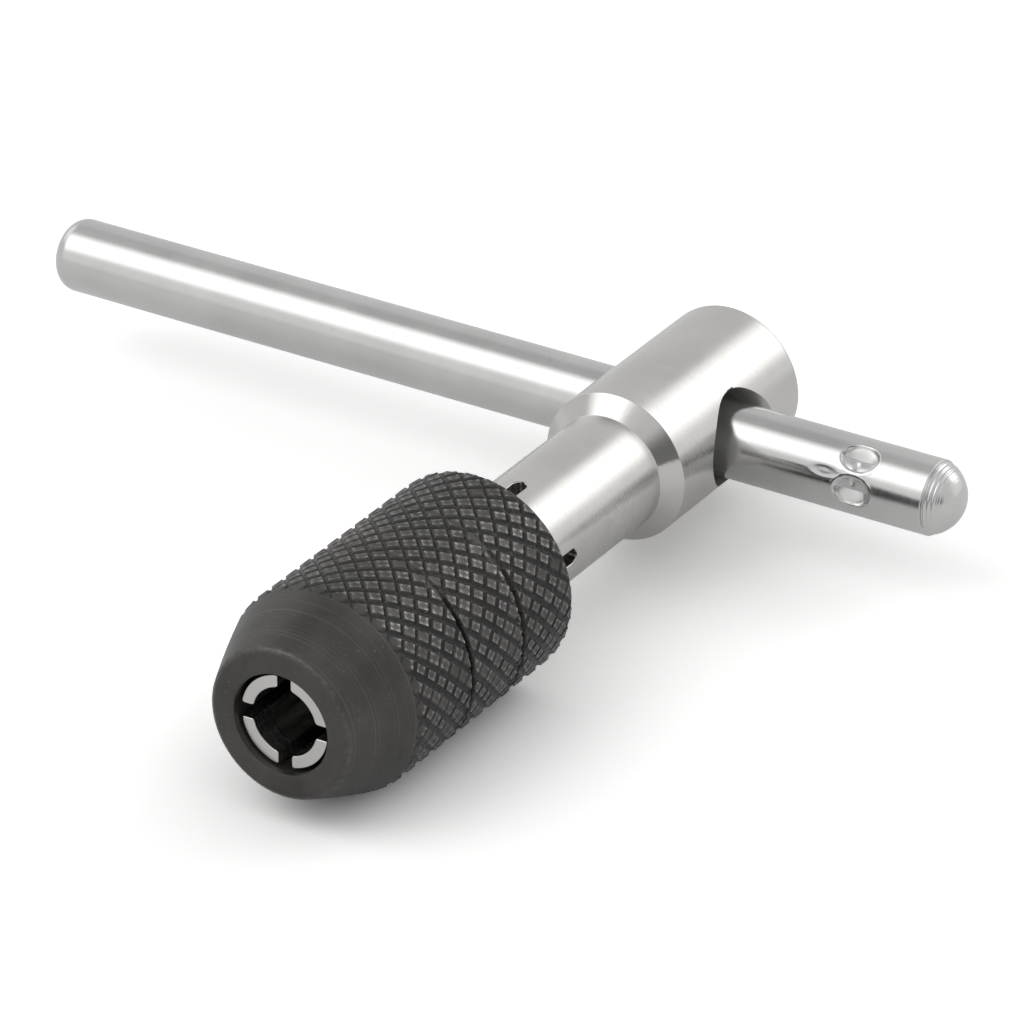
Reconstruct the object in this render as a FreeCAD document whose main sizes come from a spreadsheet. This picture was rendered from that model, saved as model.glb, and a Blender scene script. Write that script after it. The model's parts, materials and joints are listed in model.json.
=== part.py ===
import FreeCAD, Part
import math
import os
import Sketcher

# T-handle tap wrench: a spindle whose front end is split into four spring jaws, a knurled chuck nut
# that closes them, and a sliding T-bar.
#
# Frame: millimetres. The origin is the centre of the jaws' mouth. +Y runs along the tap axis, from the
# mouth towards the handle, X runs along the T-bar and +Z is up.

doc = FreeCAD.newDocument("tap_wrench")

DIMENSIONS = [
    # spindle
    ("slot_length", 43.0),
    ("neck_diameter", 12.6),
    ("shoulder_start", 59.2),
    ("head_start", 60.8),
    ("head_diameter", 16.3),
    ("spindle_length", 84.3),
    ("head_edge_radius", 0.5),
    ("cross_hole_diameter", 10.4),
    ("cross_hole_place", 72.55),
    ("countersink_diameter", 12.7),
    # collet
    ("tap_bore_diameter", 7.2),
    ("tap_bore_depth", 46.0),
    ("drill_point_depth", 2.1),
    ("slot_width", 1.5),
    ("jaw_tip_diameter", 9.86),
    ("jaw_tip_bevel", 0.2),
    ("jaw_land", 0.6),
    ("cone_half_angle", 12.0),
    ("jaw_cone_diameter", 12.7),
    ("jaw_cone_land", 2.6),
    ("waist_diameter", 12.0),
    ("thread_start", 14.0),
    ("thread_end", 31.0),
    ("thread_diameter", 13.24),
    ("run_out", 0.5),
    # chuck nut
    ("nut_overhang", 0.7),
    ("nut_length", 35.3),
    ("nut_diameter", 22.06),
    ("nut_nose_length", 8.1),
    ("nut_face_diameter", 15.7),
    ("nut_edge_bevel", 0.25),
    ("nut_mouth_diameter", 10.58),
    ("cone_clearance", 0.08),
    ("nut_cone_end_diameter", 13.0),
    ("nut_relief_diameter", 14.4),
    ("nut_thread_clearance", 0.08),
    ("nut_rear_diameter", 14.2),
    ("nut_rear_depth", 4.6),
    ("band_groove_place", 17.05),
    ("band_groove_pitch", 9.25),
    ("band_groove_width", 0.75),
    ("band_groove_depth", 0.45),
    # T-bar
    ("bar_diameter", 8.0),
    ("bar_length", 109.8),
    ("bar_left_rounding", 2.2),
    ("bar_right_rounding", 3.9),
    ("bar_left_reach", 76.5),
    ("bar_place", 73.4),
    ("bar_drop", 0.75),
    ("dent_end_distance", 10.8),
    ("dent_sphere_radius", 3.0),
    ("dent_depth", 0.8),
    ("dent_low_angle", 3.0),
    ("dent_high_angle", 57.0),
]

sheet = doc.addObject("Spreadsheet::Sheet", "Dimensions")
for row, (name, value) in enumerate(DIMENSIONS, start=1):
    sheet.set(f"A{row}", name)
    sheet.set(f"B{row}", str(value))
    sheet.setAlias(f"B{row}", name)
doc.recompute()

DIMENSION_NAMES = sorted((name for name, value in DIMENSIONS), key=len, reverse=True)


def bound(formula):
    """The formula with every dimension's name pointed at the spreadsheet."""
    words = []
    word = ""
    for letter in formula + " ":
        if letter.isalnum() or letter == "_":
            word += letter
            continue
        words.append("Dimensions." + word if word in DIMENSION_NAMES else word)
        words.append(letter)
        word = ""
    return "".join(words).strip()


def number(formula):
    """The formula's value now."""
    return float(sheet.evalExpression(bound(formula)))


def new_body(label):
    body = doc.addObject("PartDesign::Body", label)
    body.Label = label
    return body


def origin_feature(body, role):
    return next(feature for feature in body.Origin.OriginFeatures if feature.Role == role)


def new_sketch(body, name, plane):
    sketch = body.newObject("Sketcher::SketchObject", name)
    sketch.AttachmentSupport = [(origin_feature(body, plane), "")]
    sketch.MapMode = "FlatFace"
    return sketch


def place_point(sketch, line, end, formulas):
    """Hold one end of a line at (across, up), each a formula of the dimensions, or "0" on an axis."""
    kinds = (("DistanceX", -2), ("DistanceY", -1))
    for (kind, axis), formula in zip(kinds, formulas):
        if formula == "0":
            sketch.addConstraint(Sketcher.Constraint("PointOnObject", line, end, axis))
            continue
        index = sketch.addConstraint(
            Sketcher.Constraint(kind, -1, 1, line, end, number(formula))
        )
        sketch.setExpression(f"Constraints[{index}]", bound(formula))


def outline(sketch, corners):
    """A closed outline of straight edges through corners given as pairs of formulas."""
    points = [FreeCAD.Vector(number(across), number(up), 0) for across, up in corners]
    count = len(points)
    for i in range(count):
        sketch.addGeometry(Part.LineSegment(points[i], points[(i + 1) % count]), False)
    for i in range(count):
        sketch.addConstraint(Sketcher.Constraint("Coincident", i, 2, (i + 1) % count, 1))
    for i, corner in enumerate(corners):
        place_point(sketch, i, 1, corner)


def turned(body, name, corners):
    """Turn an outline of (radius, distance along the tap axis) corners about the tap axis."""
    sketch = new_sketch(body, name + "_outline", "XY_Plane")
    outline(sketch, corners)
    solid = body.newObject("PartDesign::Revolution", name)
    solid.Profile = sketch
    solid.ReferenceAxis = (sketch, ["V_Axis"])
    solid.Angle = 360
    doc.recompute()
    return solid


def must_lose_material(feature, before):
    """A cut that points away from the solid changes nothing, so the volumes are compared."""
    doc.recompute()
    if feature.Shape.Volume >= before - 1e-3:
        raise RuntimeError(f"{feature.Name} cuts nothing")


def ring_edges(shape, radius, along):
    """Names of the circular edges about the tap axis of one radius at one distance along it."""
    names = []
    for i, edge in enumerate(shape.Edges, start=1):
        if not isinstance(edge.Curve, Part.Circle):
            continue
        same_size = abs(edge.Curve.Radius - radius) < 1e-4
        if same_size and abs(edge.Curve.Center.y - along) < 1e-4:
            names.append(f"Edge{i}")
    return names


CONE_RISE = "tan(cone_half_angle * 1 deg)"
JAW_CONE_END = f"(jaw_land + (jaw_cone_diameter - jaw_tip_diameter) / 2 / {CONE_RISE})"


def make_spindle():
    """Neck, shoulder and head, turned from one bar. The jaws carry on from its front face."""
    body = new_body("spindle")
    turning = turned(
        body,
        "spindle_turning",
        [
            ("tap_bore_diameter / 2", "slot_length"),
            ("neck_diameter / 2", "slot_length"),
            ("neck_diameter / 2", "shoulder_start"),
            ("head_diameter / 2", "head_start"),
            ("head_diameter / 2", "spindle_length"),
            ("0", "spindle_length"),
            ("0", "tap_bore_depth + drill_point_depth"),
            ("tap_bore_diameter / 2", "tap_bore_depth"),
        ],
    )

    rear_edge = ring_edges(turning.Shape, number("head_diameter / 2"), number("spindle_length"))
    rounded = body.newObject("PartDesign::Fillet", "head_edge")
    rounded.Base = (turning, rear_edge)
    rounded.setExpression("Radius", bound("head_edge_radius"))
    must_lose_material(rounded, turning.Shape.Volume)

    # One half of the cross-hole, countersunk at its mouth, and its mirror image.
    sketch = new_sketch(body, "cross_hole_outline", "XY_Plane")
    sink_start = "(head_diameter - countersink_diameter + cross_hole_diameter) / 2"
    beyond = "head_diameter"
    hole_edge = "cross_hole_place + cross_hole_diameter / 2"
    outline(
        sketch,
        [
            ("0", "cross_hole_place"),
            ("0", hole_edge),
            (sink_start, hole_edge),
            (beyond, f"{hole_edge} + {beyond} - {sink_start}"),
            (beyond, "cross_hole_place"),
        ],
    )
    axis_start = FreeCAD.Vector(0, number("cross_hole_place"), 0)
    axis_end = FreeCAD.Vector(number(beyond), number("cross_hole_place"), 0)
    axis = sketch.addGeometry(Part.LineSegment(axis_start, axis_end), True)
    place_point(sketch, axis, 1, ("0", "cross_hole_place"))
    place_point(sketch, axis, 2, (beyond, "cross_hole_place"))
    hole = body.newObject("PartDesign::Groove", "cross_hole")
    hole.Profile = sketch
    hole.ReferenceAxis = (sketch, ["Axis0"])
    hole.Angle = 360
    must_lose_material(hole, rounded.Shape.Volume)

    other_half = body.newObject("PartDesign::Mirrored", "cross_hole_other_half")
    other_half.Originals = [hole]
    other_half.MirrorPlane = (origin_feature(body, "YZ_Plane"), [""])
    body.Tip = other_half
    must_lose_material(other_half, hole.Shape.Volume)
    return body


def make_jaw(index):
    """One spring finger of the collet: a quarter of the turned nose, between two saw cuts."""
    body = new_body(f"jaw_{index}")
    turning = turned(
        body,
        f"jaw_{index}_turning",
        [
            ("tap_bore_diameter / 2", "0"),
            ("jaw_tip_diameter / 2 - jaw_tip_bevel", "0"),
            ("jaw_tip_diameter / 2", "jaw_tip_bevel"),
            ("jaw_tip_diameter / 2", "jaw_land"),
            ("jaw_cone_diameter / 2", JAW_CONE_END),
            ("jaw_cone_diameter / 2", f"{JAW_CONE_END} + jaw_cone_land"),
            ("waist_diameter / 2", f"{JAW_CONE_END} + jaw_cone_land + run_out"),
            ("waist_diameter / 2", "thread_start - run_out"),
            ("thread_diameter / 2", "thread_start"),
            ("thread_diameter / 2", "thread_end"),
            ("neck_diameter / 2", "thread_end + run_out"),
            ("neck_diameter / 2", "slot_length"),
            ("tap_bore_diameter / 2", "slot_length"),
        ],
    )

    # Everything but the quarter that stands half a saw cut away from each cutting plane.
    sketch = new_sketch(body, f"jaw_{index}_saw_cuts", "XZ_Plane")
    near = number("slot_width / 2")
    far = number("thread_diameter")
    corners = [(near, near), (near, far), (-far, far), (-far, -far), (far, -far), (far, near)]
    points = [FreeCAD.Vector(across, up, 0) for across, up in corners]
    for i in range(len(points)):
        sketch.addGeometry(Part.LineSegment(points[i], points[(i + 1) % len(points)]), False)
    for i in range(len(points)):
        sketch.addConstraint(Sketcher.Constraint("Coincident", i, 2, (i + 1) % len(points), 1))
        sketch.addConstraint(Sketcher.Constraint("Vertical" if i % 2 == 0 else "Horizontal", i))
    half_slot = bound("slot_width / 2")
    for kind in ("DistanceX", "DistanceY"):
        index_here = sketch.addConstraint(Sketcher.Constraint(kind, -1, 1, 0, 1, near))
        sketch.setExpression(f"Constraints[{index_here}]", half_slot)
    cut = body.newObject("PartDesign::Pocket", f"jaw_{index}_quarter")
    cut.Profile = sketch
    cut.Type = "ThroughAll"
    cut.Midplane = True
    must_lose_material(cut, turning.Shape.Volume)
    body.Tip = cut

    quarter_turn = FreeCAD.Rotation(FreeCAD.Vector(0, 1, 0), -90 * (index - 1))
    body.Placement = FreeCAD.Placement(FreeCAD.Vector(0, 0, 0), quarter_turn)
    return body


def make_chuck_nut():
    """The nut, measured from its own front face. Plain pitch-diameter bore in place of the thread."""
    body = new_body("chuck_nut")
    # The closing cone lies parallel to the jaws' cone, one clearance outside it.
    cone_start = (
        "(nut_overhang + jaw_land + "
        f"((nut_mouth_diameter - jaw_tip_diameter) / 2 - cone_clearance) / {CONE_RISE})"
    )
    cone_end = f"({cone_start} + (nut_cone_end_diameter - nut_mouth_diameter) / 2 / {CONE_RISE})"
    thread_radius = "(thread_diameter / 2 + nut_thread_clearance)"
    turning = turned(
        body,
        "nut_turning",
        [
            ("nut_mouth_diameter / 2", "0"),
            ("nut_face_diameter / 2 - nut_edge_bevel", "0"),
            ("nut_face_diameter / 2", "nut_edge_bevel"),
            ("nut_diameter / 2", "nut_nose_length"),
            ("nut_diameter / 2", "nut_length - nut_edge_bevel"),
            ("nut_diameter / 2 - nut_edge_bevel", "nut_length"),
            ("nut_rear_diameter / 2", "nut_length"),
            ("nut_rear_diameter / 2", "nut_length - nut_rear_depth"),
            (thread_radius, "nut_length - nut_rear_depth - run_out"),
            (thread_radius, "nut_overhang + thread_start"),
            ("nut_relief_diameter / 2", "nut_overhang + thread_start - run_out"),
            ("nut_relief_diameter / 2", f"{cone_end} + run_out"),
            ("nut_cone_end_diameter / 2", cone_end),
            ("nut_mouth_diameter / 2", cone_start),
        ],
    )

    # Two ring grooves part the knurl into three bands.
    sketch = new_sketch(body, "band_groove_outline", "XY_Plane")
    outline(
        sketch,
        [
            ("nut_diameter / 2 - band_groove_depth", "band_groove_place - band_groove_width / 4"),
            ("nut_diameter / 2 + band_groove_depth", "band_groove_place - band_groove_width / 2"),
            ("nut_diameter / 2 + band_groove_depth", "band_groove_place + band_groove_width / 2"),
            ("nut_diameter / 2 - band_groove_depth", "band_groove_place + band_groove_width / 4"),
        ],
    )
    groove = body.newObject("PartDesign::Groove", "band_groove")
    groove.Profile = sketch
    groove.ReferenceAxis = (sketch, ["V_Axis"])
    groove.Angle = 360
    must_lose_material(groove, turning.Shape.Volume)
    grooves = body.newObject("PartDesign::LinearPattern", "band_grooves")
    grooves.Originals = [groove]
    grooves.Direction = (origin_feature(body, "Y_Axis"), [""])
    grooves.setExpression("Length", bound("band_groove_pitch"))
    grooves.Occurrences = 2
    body.Tip = grooves
    must_lose_material(grooves, groove.Shape.Volume)

    body.setExpression("Placement.Base.y", bound("-nut_overhang"))
    return body


def make_tee_bar():
    """Round bar with rounded ends, measured from its left tip, staked by two punch dents at each end."""
    body = new_body("tee_bar")
    sketch = new_sketch(body, "bar_section", "YZ_Plane")
    circle = Part.Circle(FreeCAD.Vector(0, 0, 0), FreeCAD.Vector(0, 0, 1), number("bar_diameter / 2"))
    sketch.addGeometry(circle, False)
    sketch.addConstraint(Sketcher.Constraint("Coincident", 0, 3, -1, 1))
    size = sketch.addConstraint(Sketcher.Constraint("Radius", 0, number("bar_diameter / 2")))
    sketch.setExpression(f"Constraints[{size}]", bound("bar_diameter / 2"))
    rod = body.newObject("PartDesign::Pad", "bar_rod")
    rod.Profile = sketch
    rod.setExpression("Length", bound("bar_length"))
    doc.recompute()

    latest = rod
    for side, end in (("left", 0.0), ("right", number("bar_length"))):
        rim = [
            f"Edge{i}"
            for i, edge in enumerate(latest.Shape.Edges, start=1)
            if isinstance(edge.Curve, Part.Circle) and edge.Curve.Center.x == end
        ]
        rounding = body.newObject("PartDesign::Fillet", f"bar_{side}_rounding")
        rounding.Base = (latest, rim)
        rounding.setExpression("Radius", bound(f"bar_{side}_rounding"))
        must_lose_material(rounding, latest.Shape.Volume)
        latest = rounding

    # The right-hand dents face the nose. The left-hand ones are on the far side of the bar.
    about_bar = FreeCAD.Vector(1, 0, 0)
    reach = "(bar_diameter / 2 + dent_sphere_radius - dent_depth)"
    for side, along, turn in (
        ("right", "bar_length - dent_end_distance", "0"),
        ("left", "dent_end_distance", "150"),
    ):
        for which in ("low", "high"):
            angle = f"((dent_{which}_angle + {turn}) * 1 deg)"
            dent = body.newObject("PartDesign::SubtractiveSphere", f"dent_{side}_{which}")
            dent.setExpression("Radius", bound("dent_sphere_radius"))
            # Each sphere is turned about the bar, which keeps its poles clear of the dent.
            dent.Placement = FreeCAD.Placement(FreeCAD.Vector(), FreeCAD.Rotation(about_bar, 1))
            dent.setExpression("Placement.Rotation.Angle", bound(f"-{angle}"))
            dent.setExpression("Placement.Base.x", bound(along))
            dent.setExpression("Placement.Base.y", bound(f"-{reach} * cos{angle}"))
            dent.setExpression("Placement.Base.z", bound(f"{reach} * sin{angle}"))
            must_lose_material(dent, latest.Shape.Volume)
            latest = dent
    body.Tip = latest

    body.setExpression("Placement.Base.x", bound("-bar_left_reach"))
    body.setExpression("Placement.Base.y", bound("bar_place"))
    body.setExpression("Placement.Base.z", bound("-bar_drop"))
    return body


parts = [make_spindle()]
for jaw_index in range(1, 5):
    parts.append(make_jaw(jaw_index))
parts.append(make_chuck_nut())
parts.append(make_tee_bar())
doc.recompute()

failed = [thing.Name for thing in doc.Objects if {"Invalid", "Error"} & set(thing.State)]
if failed:
    raise RuntimeError(f"features failed: {failed}")
for part in parts:
    shape = part.Shape
    if shape.isNull() or not shape.isValid() or len(shape.Solids) != 1:
        raise RuntimeError(f"{part.Label} is not one valid solid")

os.makedirs("parts", exist_ok=True)
for part in parts:
    part.Shape.exportStep(f"parts/{part.Label}.step")
    box = part.Shape.BoundBox
    print(
        f"{part.Label}: {part.Shape.Volume:.1f} mm3, "
        f"x {box.XMin:.2f} to {box.XMax:.2f}, y {box.YMin:.2f} to {box.YMax:.2f}, "
        f"z {box.ZMin:.2f} to {box.ZMax:.2f}"
    )
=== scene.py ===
import json
import math
import random

import bmesh
import bpy
import numpy as np
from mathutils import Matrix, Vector


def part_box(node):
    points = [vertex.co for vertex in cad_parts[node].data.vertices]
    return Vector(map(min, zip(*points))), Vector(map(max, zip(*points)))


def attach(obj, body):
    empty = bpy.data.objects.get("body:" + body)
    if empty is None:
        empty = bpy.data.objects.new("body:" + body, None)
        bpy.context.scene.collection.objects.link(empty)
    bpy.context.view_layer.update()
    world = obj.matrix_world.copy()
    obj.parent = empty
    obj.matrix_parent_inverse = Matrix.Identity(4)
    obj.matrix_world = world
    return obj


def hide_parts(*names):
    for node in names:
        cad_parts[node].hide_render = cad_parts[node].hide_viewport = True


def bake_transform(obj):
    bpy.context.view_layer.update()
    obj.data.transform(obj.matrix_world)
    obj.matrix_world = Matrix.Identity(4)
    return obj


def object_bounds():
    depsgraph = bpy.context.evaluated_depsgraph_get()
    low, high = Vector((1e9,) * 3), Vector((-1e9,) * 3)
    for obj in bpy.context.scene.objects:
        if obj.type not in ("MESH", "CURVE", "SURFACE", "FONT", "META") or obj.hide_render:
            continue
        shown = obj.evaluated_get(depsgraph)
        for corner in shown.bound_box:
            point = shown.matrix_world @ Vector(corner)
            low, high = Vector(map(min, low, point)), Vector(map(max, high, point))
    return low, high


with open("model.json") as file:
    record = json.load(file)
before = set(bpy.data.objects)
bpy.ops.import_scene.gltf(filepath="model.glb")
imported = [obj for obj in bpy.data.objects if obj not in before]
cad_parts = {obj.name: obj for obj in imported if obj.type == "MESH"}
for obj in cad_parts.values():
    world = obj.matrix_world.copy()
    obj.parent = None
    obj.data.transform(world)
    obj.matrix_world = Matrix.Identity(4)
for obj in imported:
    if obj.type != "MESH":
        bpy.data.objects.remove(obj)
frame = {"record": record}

cad_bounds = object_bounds()

# Lengths inside this script are millimetres in the row frame: the origin is the jaws' mouth, +Y the tap
# axis from the mouth to the handle, X the bar, +Z up. MM turns them into Blender's metres.
MM = 0.001
TURN = 2 * math.pi

# ---------------------------------------------------------------------------------------------------
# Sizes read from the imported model
# ---------------------------------------------------------------------------------------------------


def box_mm(node):
    low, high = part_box(node)
    return low / MM, high / MM


nut_low, nut_high = box_mm("chuck_nut")
spindle_low, spindle_high = box_mm("spindle")
bar_low, bar_high = box_mm("tee_bar")
collet = next(mount for mount in frame["record"]["mounts"] if mount["name"] == "tap_collet")

NUT_RADIUS = nut_high.z
NUT_FRONT = nut_low.y
NUT_REAR = nut_high.y
HEAD_RADIUS = spindle_high.z
SLOT_ROOT = spindle_low.y
HEAD_END = spindle_high.y
BORE_RADIUS = collet["dims"]["r_mm"]
BORE_DEPTH = collet["dims"]["length_mm"]
BAR_RADIUS = (bar_high.z - bar_low.z) / 2
BAR_CENTRE = (bar_low + bar_high) / 2
FLOOR_Z = cad_bounds[0][2] / MM

# ---------------------------------------------------------------------------------------------------
# Sizes of details
# ---------------------------------------------------------------------------------------------------

NECK_RADIUS = 6.3
SHOULDER_START = 59.2
HEAD_START = 60.8
HEAD_EDGE = 0.5
CROSS_HOLE_RADIUS = 5.2
CROSS_HOLE_Y = 72.55
CROSS_HOLE_FLARE = 1.35
FLARE_ROUNDING = 1.5
FLARE_TURN = math.radians(62)
FLARE_LAST_SLOPE = 1.9
SHOULDER_ROOT_ROUNDING = 0.18
SHOULDER_EDGE_ROUNDING = 0.10
DRILL_POINT_DEPTH = 2.1

SLOT_WIDTH = 1.5
JAW_TIP_RADIUS = 4.93
JAW_CONE_RADIUS = 6.35
JAW_CONE_START = 0.6
JAW_CONE_END = 7.28
JAW_CONE_LAND = 2.6
WAIST_RADIUS = 6.0
THREAD_START = 14.0
THREAD_END = 31.0
THREAD_RADIUS = 6.62
THREAD_PITCH = 1.0
THREAD_HEIGHT = 0.26
THREAD_ROWS_PER_TURN = 8
RUN_OUT = 0.4
EDGE_BEVEL = 0.12
FINGER_EDGE_BEVEL = 0.16

NOSE_LENGTH = 8.1
NUT_FACE_RADIUS = 7.85
NUT_MOUTH_RADIUS = 5.29
NUT_CONE_START = 1.92
NUT_CONE_END = 7.61
NUT_CONE_END_RADIUS = 6.5
NUT_RELIEF_RADIUS = 7.2
NUT_THREAD_RADIUS = 6.7
NUT_REAR_BORE_RADIUS = 7.1
NUT_REAR_BORE_DEPTH = 4.6
NUT_CONE_CROWN = 0.10
FRONT_BEVEL = 0.3
REAR_BEVEL = 0.25
BAND_GROOVES = (16.35, 25.6)
BAND_GROOVE_WIDTH = 0.75
BAND_GROOVE_DEPTH = 0.47
BAND_LIP_WIDTH = 0.16
BAND_DEEP_SIDE = math.radians(-20)
BAND_LEAST_SHARE = 0.12
BAND_LIP_DROP = 0.12
BAND_LIP_FADE = 0.25

KNURL_STARTS = 29
KNURL_PITCH = 2.44
KNURL_DEPTH = 0.25
KNURL_WIDE = 0.215
KNURL_NARROW = 0.15
KNURL_RIM = 0.055
KNURL_DISH = 0.085
KNURL_UNEVENNESS = 0.03
# The share of a land, from its middle outwards, at which its worn rim, painted bright as bare metal and as a
# highlight, reaches full strength.
KNURL_RIM_START = 0.82

# Values of the nut's "knurl" attribute: 0 in a groove, which is painted dark as shade, and 1 on the most worn
# rim, which is painted bright as bare metal and as a highlight.
PLAIN_SHADE_WEAR = 0.5
WEAR_FACE_EDGE = 0.63
WEAR_NOSE_EDGE = 0.67
WEAR_LIP = 0.95

# ---------------------------------------------------------------------------------------------------
# Mesh helpers
# ---------------------------------------------------------------------------------------------------


class Surface:
    """Points, faces and one normal for each corner of each face, gathered before a mesh is made."""

    def __init__(self):
        self.points = []
        self.faces = []
        self.normals = []

    def add_face(self, corners, normals):
        self.faces.append(corners)
        self.normals.extend(normals)

    def to_object(self, name, material):
        mesh = bpy.data.meshes.new(name)
        mesh.from_pydata([Vector(p) * MM for p in self.points], [], self.faces)
        mesh.polygons.foreach_set("use_smooth", [True] * len(mesh.polygons))
        mesh.normals_split_custom_set([Vector(n).normalized() for n in self.normals])
        return add_object(name, mesh, material)


def add_object(name, mesh, material):
    mesh.materials.clear()
    mesh.materials.append(material)
    mesh.update()
    obj = bpy.data.objects.new(name, mesh)
    bpy.context.scene.collection.objects.link(obj)
    return obj


def smooth_step(low, high, value):
    share = np.clip((value - low) / (high - low), 0, 1)
    return share * share * (3 - 2 * share)


def unit(x, y):
    length = math.hypot(x, y)
    return x / length, y / length


def rounded(corners, steps=6, spacing=2.0):
    """A turned outline from (radius, along, rounding) corners.

    Returns (radius, along, normal before, normal after) for each point. The solid lies on the left of
    the direction of travel when radius runs right and the axis runs up, so normals point to the right.
    """
    count = len(corners)
    path = []
    for i, (r, y, rounding) in enumerate(corners):
        before = unit(r - corners[i - 1][0], y - corners[i - 1][1]) if i else None
        after = None
        if i < count - 1:
            after = unit(corners[i + 1][0] - r, corners[i + 1][1] - y)
        d0 = before or after
        d1 = after or before
        n0 = (d0[1], -d0[0])
        n1 = (d1[1], -d1[0])
        turn = math.atan2(d0[0] * d1[1] - d0[1] * d1[0], d0[0] * d1[0] + d0[1] * d1[1])
        if rounding == 0 or abs(turn) < 1e-6:
            path.append((r, y, n0, n1))
            continue
        reach = rounding * math.tan(abs(turn) / 2)
        start = (r - d0[0] * reach, y - d0[1] * reach)
        side = 1 if turn > 0 else -1
        centre = (start[0] - side * n0[0] * rounding, start[1] - side * n0[1] * rounding)
        for k in range(steps + 1):
            angle = turn * k / steps
            c, s = math.cos(angle), math.sin(angle)
            n = (n0[0] * c - n0[1] * s, n0[0] * s + n0[1] * c)
            path.append((centre[0] + side * n[0] * rounding, centre[1] + side * n[1] * rounding, n, n))
    filled = [path[0]]
    for here in path[1:]:
        last = filled[-1]
        pieces = max(1, math.ceil(math.hypot(here[0] - last[0], here[1] - last[1]) / spacing))
        n = last[3]
        for k in range(1, pieces):
            share = k / pieces
            r = last[0] + (here[0] - last[0]) * share
            y = last[1] + (here[1] - last[1]) * share
            filled.append((r, y, n, n))
        filled.append(here)
    return filled


def turned(profile, segments, closed=False):
    """Turn an outline about the tap axis. Points on the axis become one pole vertex."""
    surface = Surface()
    rings = []
    for r, y, _, _ in profile:
        if r < 1e-6:
            surface.points.append((0, y, 0))
            rings.append([len(surface.points) - 1] * segments)
            continue
        first = len(surface.points)
        for j in range(segments):
            angle = TURN * j / segments
            surface.points.append((r * math.cos(angle), y, r * math.sin(angle)))
        rings.append(list(range(first, first + segments)))
    pairs = [(i, i + 1) for i in range(len(profile) - 1)]
    if closed:
        pairs.append((len(profile) - 1, 0))
    for i, k in pairs:
        for j in range(segments):
            j2 = (j + 1) % segments
            corners = [(rings[i][j], i, j, 3), (rings[k][j], k, j, 2)]
            corners += [(rings[k][j2], k, j2, 2), (rings[i][j2], i, j2, 3)]
            seen = []
            kept = []
            for corner in corners:
                if corner[0] not in seen:
                    seen.append(corner[0])
                    kept.append(corner)
            normals = []
            for _, row, column, which in kept:
                nr, ny = profile[row][which]
                angle = TURN * column / segments
                normals.append((nr * math.cos(angle), ny, nr * math.sin(angle)))
            surface.add_face(seen, normals)
    return surface


# ---------------------------------------------------------------------------------------------------
# Materials
# ---------------------------------------------------------------------------------------------------


class Shader:
    """A material with short ways to add nodes."""

    def __init__(self, name):
        self.material = bpy.data.materials.new(name)
        self.material.use_nodes = True
        self.nodes = self.material.node_tree.nodes
        self.links = self.material.node_tree.links
        self.bsdf = self.nodes["Principled BSDF"]
        self.place = self.nodes.new("ShaderNodeTexCoord").outputs["Object"]

    def link(self, source, target):
        self.links.new(source, target)

    def noise(self, scale, detail=3.0, stretch=(1, 1, 1), roughness=0.55, distortion=0.0):
        """Noise of so many cells per metre, stretched along the row's axes."""
        mapping = self.nodes.new("ShaderNodeMapping")
        mapping.inputs["Scale"].default_value = stretch
        self.link(self.place, mapping.inputs["Vector"])
        noise = self.nodes.new("ShaderNodeTexNoise")
        noise.inputs["Scale"].default_value = scale
        noise.inputs["Detail"].default_value = detail
        noise.inputs["Roughness"].default_value = roughness
        noise.inputs["Distortion"].default_value = distortion
        self.link(mapping.outputs["Vector"], noise.inputs["Vector"])
        return noise.outputs["Fac"]

    def spread(self, value, low, high, new_low, new_high):
        node = self.nodes.new("ShaderNodeMapRange")
        for name, number in zip(
            ("From Min", "From Max", "To Min", "To Max"), (low, high, new_low, new_high)
        ):
            node.inputs[name].default_value = number
        self.link(value, node.inputs["Value"])
        return node.outputs["Result"]

    def math(self, operation, first, second):
        node = self.nodes.new("ShaderNodeMath")
        node.operation = operation
        for socket, value in zip(node.inputs, (first, second)):
            if isinstance(value, (int, float)):
                socket.default_value = value
            else:
                self.link(value, socket)
        return node.outputs[0]

    def blend(self, share, first, second):
        """Mix two colours, each a socket or an (r, g, b)."""
        node = self.nodes.new("ShaderNodeMix")
        node.data_type = "RGBA"
        if isinstance(share, (int, float)):
            node.inputs[0].default_value = share
        else:
            self.link(share, node.inputs[0])
        for socket, value in zip((node.inputs[6], node.inputs[7]), (first, second)):
            if isinstance(value, tuple):
                socket.default_value = (*value, 1)
            else:
                self.link(value, socket)
        return node.outputs[2]

    def bump(self, height, depth_mm, normal=None):
        node = self.nodes.new("ShaderNodeBump")
        node.inputs["Strength"].default_value = 1.0
        node.inputs["Distance"].default_value = depth_mm * MM
        self.link(height, node.inputs["Height"])
        if normal is not None:
            self.link(normal, node.inputs["Normal"])
        return node.outputs["Normal"]

    def finish(self, colour, roughness, normal):
        self.link(colour, self.bsdf.inputs["Base Color"])
        self.link(roughness, self.bsdf.inputs["Roughness"])
        self.link(normal, self.bsdf.inputs["Normal"])
        return self.material


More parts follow.
